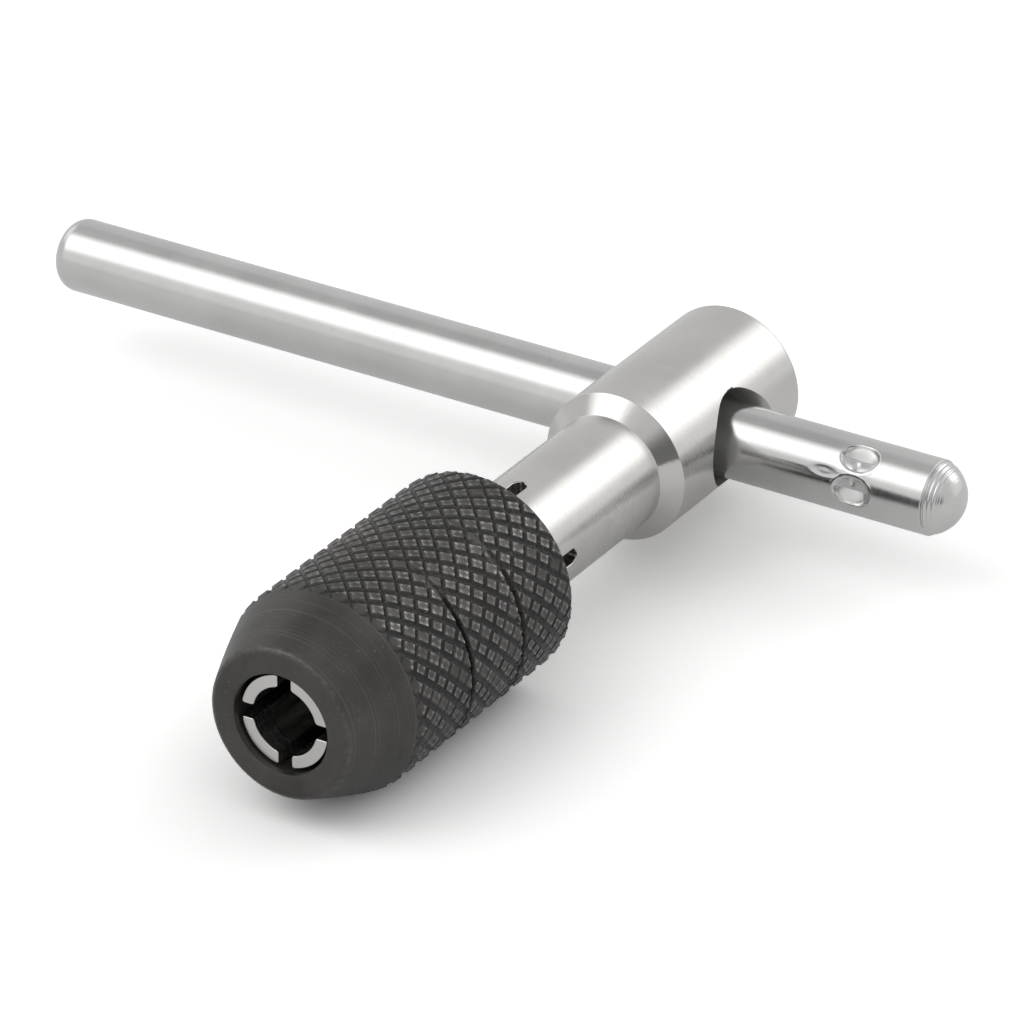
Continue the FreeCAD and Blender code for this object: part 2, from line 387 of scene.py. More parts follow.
def steel(name, tint, rough, grain_mm, ring_axis, ring_mm, streak_mm, mottling):
    """Bright machined steel: tool rings about one axis, fine grain, and slow patches of tone.

    The "tooling" attribute is 1 on a drilled wall, 0 on plain metal and -1 on a polished edge.
    """
    shader = Shader(name)
    shader.bsdf.inputs["Metallic"].default_value = 1.0
    rings = tuple(12.0 if axis == ring_axis else 0.12 for axis in "XYZ")
    ring = shader.noise(280, 2.0, rings)
    grain = shader.noise(2600, 3.0)
    patches = shader.noise(110, 3.0, roughness=0.6)
    flecks = shader.noise(1500, 2.0, roughness=0.7)

    light = tuple(min(1.0, c * (1 + mottling)) for c in tint)
    dark = tuple(c * (1 - mottling) for c in tint)
    colour = shader.blend(shader.spread(patches, 0.35, 0.65, 0, 1), dark, light)
    speck = shader.spread(flecks, 0.68, 0.78, 0, 0.35)
    colour = shader.blend(speck, colour, tuple(c * 0.72 for c in tint))

    uneven = shader.math("ADD", shader.math("MULTIPLY", patches, 0.6), shader.math("MULTIPLY", ring, 0.4))
    roughness = shader.spread(uneven, 0.35, 0.65, rough * 0.8, rough * 1.25)
    # Streaks run along the piece, where the stock was drawn. Drilled walls scatter light.
    along = tuple(0.04 if axis == ring_axis else 1.0 for axis in "XYZ")
    streaks = shader.noise(900, 3.0, along)
    normal = shader.bump(ring, ring_mm)
    normal = shader.bump(streaks, streak_mm, normal)
    normal = shader.bump(grain, grain_mm, normal)
    tooled = shader.nodes.new("ShaderNodeAttribute")
    tooled.attribute_name = "tooling"
    metal = shader.spread(tooled.outputs["Fac"], 0.0, 1.0, 1.0, 0.35)
    shader.link(metal, shader.bsdf.inputs["Metallic"])
    roughness = shader.math("MULTIPLY", roughness, shader.spread(tooled.outputs["Fac"], -1.0, 0.0, 0.45, 1.0))
    return shader.finish(colour, roughness, normal)


def black_oxide():
    """Blackened steel. The "knurl" attribute is 0 in a groove, painted dark as shade, 0.5 on plain metal, and
    1 on a rubbed rim, painted bright as bare metal and as a highlight.
    """
    shader = Shader("black_oxide")
    shader.bsdf.inputs["Metallic"].default_value = 0.75
    shader.bsdf.inputs["Specular IOR Level"].default_value = 0.5
    knurl_shade_and_wear = shader.nodes.new("ShaderNodeAttribute")
    knurl_shade_and_wear.attribute_name = "knurl"

    patches = shader.noise(160, 4.0, roughness=0.6)
    grain = shader.noise(2300, 3.0)
    warmth = shader.noise(90, 2.0)
    plain = shader.blend(shader.spread(patches, 0.3, 0.7, 0, 1), (0.060, 0.058, 0.056), (0.098, 0.095, 0.092))
    plain = shader.blend(shader.spread(warmth, 0.55, 0.75, 0, 0.55), plain, (0.098, 0.072, 0.066))
    # Painted shade: the knurl's grooves and the deep ring grooves turn near black as the value falls towards
    # 0.
    grooves = shader.spread(knurl_shade_and_wear.outputs["Fac"], 0.0, 0.4, 0.85, 0)
    colour = shader.blend(grooves, plain, (0.019, 0.018, 0.018))
    # Rubbed bare metal on rims, lips and edges; on the knurl's land rims it is also a painted highlight,
    # broken into specks by noise.
    rim_noise = shader.spread(grain, 0.40, 0.62, 0.05, 1.0)
    rims = shader.math("MULTIPLY", shader.spread(knurl_shade_and_wear.outputs["Fac"], 0.62, 1.0, 0, 1.0), rim_noise)
    colour = shader.blend(rims, colour, (0.46, 0.45, 0.44))
    specks = shader.spread(shader.noise(3600, 1.0, roughness=0.4), 0.76, 0.80, 0, 0.6)
    colour = shader.blend(specks, colour, (0.30, 0.29, 0.28))

    roughness = shader.spread(patches, 0.3, 0.7, 0.34, 0.48)
    lines = shader.noise(420, 1.0, (0.05, 9.0, 0.05))
    colour = shader.blend(shader.spread(lines, 0.60, 0.72, 0, 0.14), colour, (0.30, 0.29, 0.28))
    normal = shader.bump(lines, 0.045)
    normal = shader.bump(grain, 0.012, normal)
    return shader.finish(colour, roughness, normal)


# The fingers are the same bar as the neck, so the two steels are alike.
neck_look = ((0.625, 0.616, 0.600), 0.24, 0.0044, "Y", 0.0009, 0.0012, 0.05)
neck_steel = steel("turned_steel", *neck_look)
jaw_steel = steel("jaw_steel", *neck_look)
bar_steel = steel("bar_steel", (0.630, 0.630, 0.627), 0.18, 0.0036, "X", 0.0010, 0.0030, 0.05)
nut_black = black_oxide()

# ---------------------------------------------------------------------------------------------------
# Spindle
# ---------------------------------------------------------------------------------------------------


def cross_hole_profile():
    """Radius of the cross-hole against distance from the tap axis, flaring at its mouth."""
    flare_start = HEAD_RADIUS - CROSS_HOLE_FLARE
    points = [(0.0, CROSS_HOLE_RADIUS), (flare_start, CROSS_HOLE_RADIUS)]
    steps = 10
    for k in range(1, steps + 1):
        angle = FLARE_TURN * k / steps
        x = flare_start + FLARE_ROUNDING * math.sin(angle)
        points.append((x, CROSS_HOLE_RADIUS + FLARE_ROUNDING * (1 - math.cos(angle))))
    # The last stretch carries the cutter clear of the head.
    beyond = HEAD_RADIUS + 2
    last_x, last_radius = points[-1]
    points.append((beyond, last_radius + FLARE_LAST_SLOPE * (beyond - last_x)))
    return points


def hole_slope(x, outline):
    """Radius and slope of the cross-hole's wall at one distance from the tap axis."""
    x = abs(x)
    for (x0, r0), (x1, r1) in zip(outline, outline[1:]):
        if x <= x1:
            return r0 + (r1 - r0) * (x - x0) / (x1 - x0), (r1 - r0) / (x1 - x0)
    return outline[-1][1], 0.0


def make_hole_cutter():
    half = cross_hole_profile()
    stations = [(-x, r) for x, r in reversed(half[1:])] + half
    segments = 160
    points = []
    for x, r in stations:
        for j in range(segments):
            angle = TURN * j / segments
            points.append((x, CROSS_HOLE_Y + r * math.cos(angle), r * math.sin(angle)))
    faces = []
    for i in range(len(stations) - 1):
        for j in range(segments):
            j2 = (j + 1) % segments
            a = i * segments
            b = a + segments
            faces.append((a + j, a + j2, b + j2, b + j))
    last = (len(stations) - 1) * segments
    faces.append(tuple(range(segments))[::-1])
    faces.append(tuple(range(last, last + segments)))
    mesh = bpy.data.meshes.new("hole_cutter")
    mesh.from_pydata([Vector(p) * MM for p in points], [], faces)
    shape = bmesh.new()
    shape.from_mesh(mesh)
    bmesh.ops.recalc_face_normals(shape, faces=shape.faces)
    shape.to_mesh(mesh)
    shape.free()
    cutter = bpy.data.objects.new("hole_cutter", mesh)
    bpy.context.scene.collection.objects.link(cutter)
    return cutter


def make_spindle():
    profile = rounded(
        [
            (0, BORE_DEPTH + DRILL_POINT_DEPTH, 0),
            (BORE_RADIUS, BORE_DEPTH, 0),
            (BORE_RADIUS, SLOT_ROOT, 0),
            (NECK_RADIUS, SLOT_ROOT, 0),
            (NECK_RADIUS, SHOULDER_START, SHOULDER_ROOT_ROUNDING),
            (HEAD_RADIUS, HEAD_START, SHOULDER_EDGE_ROUNDING),
            (HEAD_RADIUS, HEAD_END, HEAD_EDGE),
            (0, HEAD_END, 0),
        ],
        spacing=1.2,
    )
    surface = turned(profile, segments=224)
    body = surface.to_object("spindle_body", neck_steel)
    cutter = make_hole_cutter()
    cut = body.modifiers.new("cross_hole", "BOOLEAN")
    cut.operation = "DIFFERENCE"
    cut.solver = "EXACT"
    cut.object = cutter
    depsgraph = bpy.context.evaluated_depsgraph_get()
    mesh = bpy.data.meshes.new_from_object(body.evaluated_get(depsgraph))
    body.modifiers.clear()
    body.data = mesh
    bpy.data.objects.remove(cutter)
    mesh.materials.clear()
    mesh.materials.append(neck_steel)
    restore_spindle_normals(mesh, profile)
    return body


def restore_spindle_normals(mesh, profile):
    """Give the cut mesh the normals of the exact turned and drilled surfaces."""
    points = np.zeros(len(mesh.vertices) * 3)
    mesh.vertices.foreach_get("co", points)
    points = points.reshape(-1, 3) / MM
    rows = np.array([(r, y) for r, y, _, _ in profile])
    starts, ends = rows[:-1], rows[1:]
    leaving = np.array([after for _, _, _, after in profile])[:-1]
    arriving = np.array([before for _, _, before, _ in profile])[1:]
    steps = ends - starts
    lengths = (steps**2).sum(1)
    hole = cross_hole_profile()
    wall_margin = 0.06
    normals = []
    tooling = []
    for face in mesh.polygons:
        corners = points[list(face.vertices)]
        centre = corners.mean(0)
        radius, slope = hole_slope(centre[0], hole)
        from_hole = math.hypot(centre[1] - CROSS_HOLE_Y, centre[2])
        from_axis = math.hypot(centre[0], centre[2])
        place = np.array((from_axis, centre[1]))
        share = np.clip(((place - starts) * steps).sum(1) / lengths, 0, 1)
        gaps = np.hypot(*(starts + steps * share[:, None] - place).T)
        nearest = int(gaps.argmin())
        off_wall = abs(from_hole - radius)
        if off_wall < wall_margin and gaps[nearest] > off_wall:
            tooling.append(1.0)
            for x, y, z in corners:
                away = np.array((0.0, y - CROSS_HOLE_Y, z))
                away /= np.linalg.norm(away)
                normals.append(np.array((math.copysign(slope, x), 0, 0)) - away)
            continue
        tooling.append(-1.0 if SHOULDER_START < centre[1] < HEAD_START else 0.0)
        for x, y, z in corners:
            r = math.hypot(x, z)
            along = ((np.array((r, y)) - starts[nearest]) * steps[nearest]).sum() / lengths[nearest]
            along = min(1.0, max(0.0, along))
            nr, ny = leaving[nearest] * (1 - along) + arriving[nearest] * along
            out = (x / r, z / r) if r > 1e-6 else (0, 0)
            normals.append((nr * out[0], ny, nr * out[1]))
    mesh.polygons.foreach_set("use_smooth", [True] * len(mesh.polygons))
    mesh.normals_split_custom_set([Vector(n).normalized() for n in normals])
    layer = mesh.attributes.new("tooling", "FLOAT", "FACE")
    layer.data.foreach_set("value", tooling)


# ---------------------------------------------------------------------------------------------------
# Jaws
# ---------------------------------------------------------------------------------------------------


def thread_wave(along, angle):
    """Height of a 60 degree thread at one place, from -1 in its root to 1 on its crest."""
    phase = (along / THREAD_PITCH - angle / TURN) % 1.0
    return max(-1.0, min(1.0, 2.6 * (abs(phase - 0.5) * 4 - 1)))


def jaw_stations():
    """(along, outer radius, inset at the mouth, threaded) from the mouth to the slots' end."""
    bevel_steps = 5
    stations = []
    for k in range(bevel_steps + 1):
        angle = math.pi / 2 * k / bevel_steps
        inset = EDGE_BEVEL * (1 - math.sin(angle))
        stations.append((EDGE_BEVEL * (1 - math.cos(angle)), JAW_TIP_RADIUS, inset, False))
    stations += [
        (JAW_CONE_START, JAW_TIP_RADIUS, 0, False),
        (JAW_CONE_START + 0.02, JAW_TIP_RADIUS, 0, False),
        (JAW_CONE_END, JAW_CONE_RADIUS, 0, False),
        (JAW_CONE_END + JAW_CONE_LAND, JAW_CONE_RADIUS, 0, False),
        (JAW_CONE_END + JAW_CONE_LAND + RUN_OUT, WAIST_RADIUS, 0, False),
        (THREAD_START - 0.6, WAIST_RADIUS, 0, False),
    ]
    count = round((THREAD_END - THREAD_START) / THREAD_PITCH * THREAD_ROWS_PER_TURN)
    for k in range(count + 1):
        along = THREAD_START + (THREAD_END - THREAD_START) * k / count
        stations.append((along, THREAD_RADIUS, 0, True))
    neck_start = THREAD_END + RUN_OUT
    stations.append((neck_start, NECK_RADIUS, 0, False))
    plain_rows = 8
    rounding = SLOT_WIDTH / 2
    for k in range(1, plain_rows + 1):
        along = neck_start + (SLOT_ROOT - rounding - neck_start) * k / plain_rows
        stations.append((along, NECK_RADIUS, 0, False))
    round_rows = 8
    for k in range(1, round_rows + 1):
        along = SLOT_ROOT - rounding + rounding * math.sin(math.pi / 2 * k / round_rows)
        stations.append((along, NECK_RADIUS, 0, False))
    return stations


def half_slot(along):
    """Half the slot's width, which closes in a rounded end at its root."""
    rounding = SLOT_WIDTH / 2
    share = max(0.0, (along - (SLOT_ROOT - rounding)) / rounding)
    return rounding * math.sqrt(max(0.02, 1 - share * share))


def jaw_section(outer, inset, middle, threaded, along):
    """One cross-section of a finger as (x, z, normal x, normal z, on the outside)."""
    bevel = FINGER_EDGE_BEVEL
    half = half_slot(along) + inset
    outer -= inset
    inner = BORE_RADIUS + inset
    reach = math.pi / 4
    outside = 20
    points = []

    def add(radius, angle, normal_angle, is_outer):
        turn = middle + angle
        if threaded and radius > (inner + outer) / 2:
            radius += THREAD_HEIGHT * thread_wave(along, turn)
        facing = middle + normal_angle
        points.append(
            (radius * math.cos(turn), radius * math.sin(turn), math.cos(facing), math.sin(facing), is_outer)
        )

    edge = reach - math.asin((half + bevel) / outer)
    side_out = outer - bevel
    side_in = inner + bevel
    for k in range(outside + 1):
        angle = -edge + 2 * edge * k / outside
        add(outer, angle, angle, True)
    add(side_out, reach - math.asin(half / side_out), math.radians(135), False)
    add(side_in, reach - math.asin(half / side_in), math.radians(135), False)
    inner_edge = reach - math.asin((half + bevel) / inner)
    for k in range(outside + 1):
        angle = inner_edge - 2 * inner_edge * k / outside
        add(inner, angle, angle + math.pi, False)
    add(side_in, -reach + math.asin(half / side_in), math.radians(-135), False)
    add(side_out, -reach + math.asin(half / side_out), math.radians(-135), False)
    return points


def make_jaw(number):
    middle = math.radians(45 + 90 * (number - 1))
    surface = Surface()
    stations = jaw_stations()
    sections = []
    slopes = []
    wall_slopes = []
    for i, (along, outer, inset, threaded) in enumerate(stations):
        section = jaw_section(outer, inset, middle, threaded, along)
        sections.append(section)
        ahead = stations[min(i + 1, len(stations) - 1)]
        behind = stations[max(i - 1, 0)]
        slopes.append(-math.atan2(ahead[1] - behind[1], ahead[0] - behind[0]) if not threaded else 0.0)
        closing = half_slot(ahead[0]) - half_slot(behind[0])
        wall_slopes.append(math.atan2(closing, ahead[0] - behind[0]))
        for x, z, *_ in section:
            surface.points.append((x, along, z))
    count = len(sections[0])
    arc = (count - 4) // 2
    walls = (arc, arc + 1, count - 2, count - 1)

    def corner_normal(i, j):
        _, _, nx, nz, is_outer = sections[i][j]
        tilt = slopes[i] if is_outer else 0.0
        if j in walls:
            tilt = wall_slopes[i]
        bevel_rows = 6
        if i < bevel_rows:
            tilt = -math.pi / 2 * (1 - i / (bevel_rows - 1))
        c = math.cos(tilt)
        return (nx * c, math.sin(tilt), nz * c)

    for i in range(len(stations) - 1):
        for j in range(count):
            j2 = (j + 1) % count
            corners = [(i, j), (i + 1, j), (i + 1, j2), (i, j2)]
            ids = [a * count + b for a, b in corners]
            surface.add_face(ids, [corner_normal(a, b) for a, b in corners])
    # Both ends are strips between the outer and the inner arc.
    for i, facing in ((0, -1), (len(stations) - 1, 1)):
        outer_ids = [i * count + j for j in range(arc)]
        inner_ids = [i * count + arc + 2 + j for j in range(arc)][::-1]
        left = [i * count + count - 1, i * count + count - 2]
        right = [i * count + arc, i * count + arc + 1]
        strip = [(outer_ids[j], outer_ids[j + 1], inner_ids[j + 1], inner_ids[j]) for j in range(arc - 1)]
        strip.append((left[0], outer_ids[0], inner_ids[0], left[1]))
        strip.append((outer_ids[-1], right[0], right[1], inner_ids[-1]))
        for face in strip:
            ids = list(face) if facing < 0 else list(face)[::-1]
            surface.add_face(ids, [(0, facing, 0)] * 4)
    return surface.to_object(f"jaw_finger_{number}", jaw_steel)


# ---------------------------------------------------------------------------------------------------
# Chuck nut
# ---------------------------------------------------------------------------------------------------


def knurl_shares(groove):
    """Where mesh lines lie between two neighbouring grooves: on their floors, walls and rims."""
    near = [0.0, groove * 0.55, groove, groove + KNURL_RIM]
    return near + [0.5] + [1 - share for share in reversed(near[1:])]


WIDE_SHARES = knurl_shares(KNURL_WIDE)
NARROW_SHARES = knurl_shares(KNURL_NARROW)


def knurl_vertex(a, b):
    """Angle and place along the axis of one lattice crossing, from its two running indices."""
    per = len(WIDE_SHARES)
    pa = a // per + WIDE_SHARES[a % per]
    pb = b // per + NARROW_SHARES[b % per]
    return math.pi * (pa + pb) / KNURL_STARTS, KNURL_PITCH * (pa - pb) / 2


def add_knurl_sheet(shape, start, end):
    """Cover a cylinder with a mesh whose lines follow the knurl's grooves."""
    per = len(WIDE_SHARES)
    around = 2 * KNURL_STARTS * per
    made = {}

    def vertex(a, b):
        key = ((a + b) % around, a - b)
        if key not in made:
            angle, along = knurl_vertex(a, b)
            made[key] = shape.verts.new((NUT_RADIUS * math.cos(angle), along, NUT_RADIUS * math.sin(angle)))
        return made[key]

    first = math.floor(2 * start / KNURL_PITCH) - 2
    last = math.ceil(2 * end / KNURL_PITCH) + 2
    for difference in range(first, last + 1):
        for total in range(difference % 2, 2 * KNURL_STARTS, 2):
            a0 = (total + difference) // 2 * per
            b0 = (total - difference) // 2 * per
            for i in range(per):
                for j in range(per):
                    a = a0 + i
                    b = b0 + j
                    shape.faces.new((vertex(a, b), vertex(a + 1, b), vertex(a + 1, b + 1), vertex(a, b + 1)))


def knurl_height(angle, along, wander):
    """Depth of the knurl below its rims, and its knurl value from 0 in a groove, painted dark as shade, to 1
    on a rim, painted bright as rubbed bare metal and a highlight.
    """
    turns = KNURL_STARTS * angle / TURN
    pa = turns + along / KNURL_PITCH
    pb = turns - along / KNURL_PITCH
    fa = abs(pa - round(pa))
    fb = abs(pb - round(pb))
    cell = (math.floor(pa), math.floor(pb) % KNURL_STARTS)
    uneven = wander[(cell[0] * 7 + cell[1] * 13) % len(wander)]
    into_groove = max(1 - fa / KNURL_WIDE, 1 - fb / KNURL_NARROW)
    # In a groove the value falls to 0 at the floor, which paints it dark as shade.
    if into_groove > 1e-4:
        depth = KNURL_DEPTH * math.sin(min(1.0, into_groove * 1.25) * math.pi / 2)
        return depth, 0.7 * (1 - into_groove) ** 3
    ua = (0.5 - fa) / (0.5 - KNURL_WIDE)
    ub = (0.5 - fb) / (0.5 - KNURL_NARROW)
    dish = (1 - ua * ua) * (1 - ub * ub)
    edge = min(1.0, max(ua, ub) / KNURL_RIM_START) ** 3
    corner = min(1.0, min(ua, ub) / KNURL_RIM_START) ** 2
    # The rim value paints rubbed bare metal and a highlight along the land's edges, less on uneven cells.
    rim = edge * (0.45 + 0.55 * corner) * (1 - uneven)
    return KNURL_DISH * dish + uneven * KNURL_UNEVENNESS, 0.5 + 0.5 * rim


NUT_NOSE_END = NUT_FRONT + NOSE_LENGTH


def groove_share(angle):
    """How much of their full depth the ring grooves have, as they were cut slightly off centre."""
    near = 0.5 + 0.5 * math.cos(angle - BAND_DEEP_SIDE)
    return BAND_LEAST_SHARE + (1 - BAND_LEAST_SHARE) * float(smooth_step(0.42, 0.86, near))


def nut_outline_radius(along, angle):
    """Radius of the nut's turned outside before it is knurled."""
    radius = NUT_RADIUS
    if along < NUT_NOSE_END:
        share = (along - NUT_FRONT) / NOSE_LENGTH
        radius = NUT_FACE_RADIUS + (NUT_RADIUS - NUT_FACE_RADIUS) * share
        # The cone is very slightly crowned where it runs into the face.
        radius += NUT_CONE_CROWN * math.sin(math.pi * share)
    if along > NUT_REAR - REAR_BEVEL:
        radius -= along - (NUT_REAR - REAR_BEVEL)
    for place in BAND_GROOVES:
        gap = abs(along - place)
        if gap < BAND_GROOVE_WIDTH / 2:
            wall = (BAND_GROOVE_WIDTH / 2 - gap) / (BAND_GROOVE_WIDTH * 0.2)
            radius -= BAND_GROOVE_DEPTH * groove_share(angle) * min(1.0, wall)
    return radius


def on_groove_lip(along):
    """True on the thin bright lip that the tool left on the nose side of each ring groove."""
    return any(0 <= place - BAND_GROOVE_WIDTH / 2 - along < BAND_LIP_WIDTH for place in BAND_GROOVES)


def stitch(shape, lower, upper):
    """Triangles between two rings of vertices with different counts, both sorted by angle."""

    def angle(vertex):
        return math.atan2(vertex.co.z, vertex.co.x) % TURN

    lower = sorted(lower, key=angle)
    upper = sorted(upper, key=angle)
    la = [angle(v) for v in lower] + [angle(lower[0]) + TURN]
    ua = [angle(v) for v in upper] + [angle(upper[0]) + TURN]
    i = j = 0
    while i < len(lower) or j < len(upper):
        here = lower[i % len(lower)]
        there = upper[j % len(upper)]
        if j >= len(upper) or (i < len(lower) and la[i + 1] <= ua[j + 1]):
            shape.faces.new((here, there, lower[(i + 1) % len(lower)]))
            i += 1
        else:
            shape.faces.new((here, there, upper[(j + 1) % len(upper)]))
            j += 1


def nut_inner_rows():
    """(radius, along, threaded) from the front edge's bevel inwards and back to the rear edge."""
    rows = [
        (NUT_FACE_RADIUS - FRONT_BEVEL, NUT_FRONT + 0.015, False),
        (NUT_FACE_RADIUS - 0.42, NUT_FRONT, False),
        (NUT_FACE_RADIUS - 0.9, NUT_FRONT, False),
        (NUT_MOUTH_RADIUS + 0.5, NUT_FRONT, False),
        (NUT_MOUTH_RADIUS + 0.16, NUT_FRONT, False),
        (NUT_MOUTH_RADIUS + 0.05, NUT_FRONT + 0.04, False),
        (NUT_MOUTH_RADIUS, NUT_FRONT + 0.16, False),
        (NUT_MOUTH_RADIUS, NUT_CONE_START - 0.3, False),
        (NUT_MOUTH_RADIUS, NUT_CONE_START, False),
        (NUT_CONE_END_RADIUS, NUT_CONE_END, False),
        (NUT_RELIEF_RADIUS, NUT_CONE_END + 0.5, False),
        (NUT_RELIEF_RADIUS, THREAD_START - 0.5, False),
    ]
    thread_end = NUT_REAR - NUT_REAR_BORE_DEPTH - 0.5
    count = round((thread_end - THREAD_START) / THREAD_PITCH * THREAD_ROWS_PER_TURN)
    for k in range(count + 1):
        rows.append((NUT_THREAD_RADIUS, THREAD_START + (thread_end - THREAD_START) * k / count, True))
    rows += [
        (NUT_REAR_BORE_RADIUS, NUT_REAR - NUT_REAR_BORE_DEPTH, False),
        (NUT_REAR_BORE_RADIUS, NUT_REAR - 0.2, False),
        (NUT_REAR_BORE_RADIUS + 0.2, NUT_REAR, False),
        (NUT_REAR_BORE_RADIUS + 1.2, NUT_REAR, False),
        (NUT_RADIUS - REAR_BEVEL - 0.7, NUT_REAR, False),
    ]
    return rows


def cut_nut_levels(shape, start, end):
    """Trim the sheet to the nut's length, and put mesh lines wherever its outline turns a corner."""
    before_nose_end = 1.2
    levels = [start, end, NUT_NOSE_END, NUT_REAR - REAR_BEVEL, NUT_NOSE_END - before_nose_end]
    for place in BAND_GROOVES:
        for share in (-0.5, -0.3, 0.3, 0.5):
            levels.append(place + BAND_GROOVE_WIDTH * share)
        levels.append(place - BAND_GROOVE_WIDTH / 2 - BAND_LIP_WIDTH)
    for level in levels:
        bmesh.ops.bisect_plane(
            shape,
            geom=shape.verts[:] + shape.edges[:] + shape.faces[:],
            dist=1e-5,
            plane_co=(0, level, 0),
            plane_no=(0, 1, 0),
            clear_outer=level == end,
            clear_inner=level == start,
        )


def radius_shade_and_wear(angle, along, wander):
    """Radius of the finished nut at one place, and its knurl value there: low in grooves for painted shade,
    high on rims for rubbed bare metal with a painted highlight.
    """
    least_depth = 0.004
    plain = nut_outline_radius(along, angle)
    depth, shade_and_wear = knurl_height(angle, along, wander)
    radius = NUT_RADIUS - depth
    if on_groove_lip(along):
        cut = groove_share(angle)
        radius = max(radius, NUT_RADIUS - BAND_LIP_DROP - BAND_LIP_FADE * (1 - cut))
        shade_and_wear = max(shade_and_wear, WEAR_LIP * cut)
    if plain < radius + least_depth:
        radius = plain
        shade_and_wear = PLAIN_SHADE_WEAR
        # Behind the nose, plain metal is painted darker as shade where the ring grooves cut deep, and the
        # rear bevel is darkened on the same side.
        if along > NUT_NOSE_END:
            shade_and_wear = PLAIN_SHADE_WEAR * (1 - groove_share(angle))
    return radius, shade_and_wear


def shape_nut_outside(shape, knurl, start, end):
    """Move the sheet onto the finished outline. Returns the vertices of its front and rear edges."""
    cells, unevenness_middle, unevenness_spread = 997, 0.12, 0.25
    chance = random.Random(7)
    wander = [max(0.0, chance.gauss(unevenness_middle, unevenness_spread)) for _ in range(cells)]
    on_edge = 2e-5
    front_ring = []
    rear_ring = []
    for vertex in shape.verts:
        angle = math.atan2(vertex.co.z, vertex.co.x)
        along = vertex.co.y
        radius, shade_and_wear = radius_shade_and_wear(angle, along, wander)
        vertex[knurl] = shade_and_wear
        vertex.co.x = radius * math.cos(angle)
        vertex.co.z = radius * math.sin(angle)
        if abs(along - start) < on_edge:
            front_ring.append(vertex)
            vertex[knurl] = WEAR_NOSE_EDGE
        if abs(along - end) < on_edge:
            rear_ring.append(vertex)
    return front_ring, rear_ring


def add_nut_inside(shape, knurl):
    """Add the face, the bore and the rear. Returns their first and last rings of vertices."""
    segments = 192
    rings = []
    for radius, along, threaded in nut_inner_rows():
        ring = []
        for j in range(segments):
            angle = TURN * j / segments
            r = radius
            if threaded:
                r += THREAD_HEIGHT * thread_wave(along, angle)
            vertex = shape.verts.new((r * math.cos(angle), along, r * math.sin(angle)))
            vertex[knurl] = PLAIN_SHADE_WEAR
            ring.append(vertex)
        rings.append(ring)
    for vertex in rings[0]:
        vertex[knurl] = WEAR_FACE_EDGE
    for ring, following in zip(rings, rings[1:]):
        for j in range(segments):
            j2 = (j + 1) % segments
            shape.faces.new((ring[j], ring[j2], following[j2], following[j]))
    return rings[0], rings[-1]


def make_nut():
    rear_gap = 0.01
    sharp_from = math.radians(38)
    shape = bmesh.new()
    start = NUT_FRONT + FRONT_BEVEL
    end = NUT_REAR - rear_gap
    add_knurl_sheet(shape, start, end)
    cut_nut_levels(shape, start, end)
    knurl = shape.verts.layers.float.new("knurl")
    front_ring, rear_ring = shape_nut_outside(shape, knurl, start, end)
    face_ring, back_ring = add_nut_inside(shape, knurl)
    stitch(shape, face_ring, front_ring)
    stitch(shape, rear_ring, back_ring)
    bmesh.ops.recalc_face_normals(shape, faces=shape.faces)
    for vertex in shape.verts:
        vertex.co *= MM
    mesh = bpy.data.meshes.new("nut_shell")
    shape.to_mesh(mesh)
    shape.free()
    mesh.polygons.foreach_set("use_smooth", [True] * len(mesh.polygons))
    mesh.set_sharp_from_angle(angle=sharp_from)
    return add_object("nut_shell", mesh, nut_black)


# ---------------------------------------------------------------------------------------------------
# T-bar
# ---------------------------------------------------------------------------------------------------

LEFT_TIP = bar_low.x
RIGHT_TIP = bar_high.x
DOME_ROOT = 2.9
LEFT_ROUNDING = 2.2
LEFT_CROWN = 0.15
RIDGE_HEIGHT = 0.045
RIDGE_PITCH = 0.40
DENT_FROM_TIP = 10.8
DENT_LENGTH = 2.15
DENT_ARC = 1.72
DENT_DEPTH = 1.15
DENT_STEP = 0.42
DENT_BURR = 0.014
DENT_SPACING = 54.0
RIGHT_DENTS_FACING = 3.0
LEFT_DENTS_FACING = 153.0
DENTS = (
    (RIGHT_TIP - DENT_FROM_TIP, RIGHT_DENTS_FACING),
    (RIGHT_TIP - DENT_FROM_TIP, RIGHT_DENTS_FACING + DENT_SPACING),
    (LEFT_TIP + DENT_FROM_TIP, LEFT_DENTS_FACING),
    (LEFT_TIP + DENT_FROM_TIP, LEFT_DENTS_FACING + DENT_SPACING),
)
BRIDGE_HEIGHT = 0.07
PIT_DEPTH = 0.16
BRUISE_FROM_TIP = 14.1
BRUISE_FACING = 24.0
BRUISE_DEPTH = 0.075


def round_the_bar(angle, middle):
    """Distance round the bar's surface from one angle to another, both in degrees."""
    return np.radians((angle - middle + 180) % 360 - 180) * BAR_RADIUS


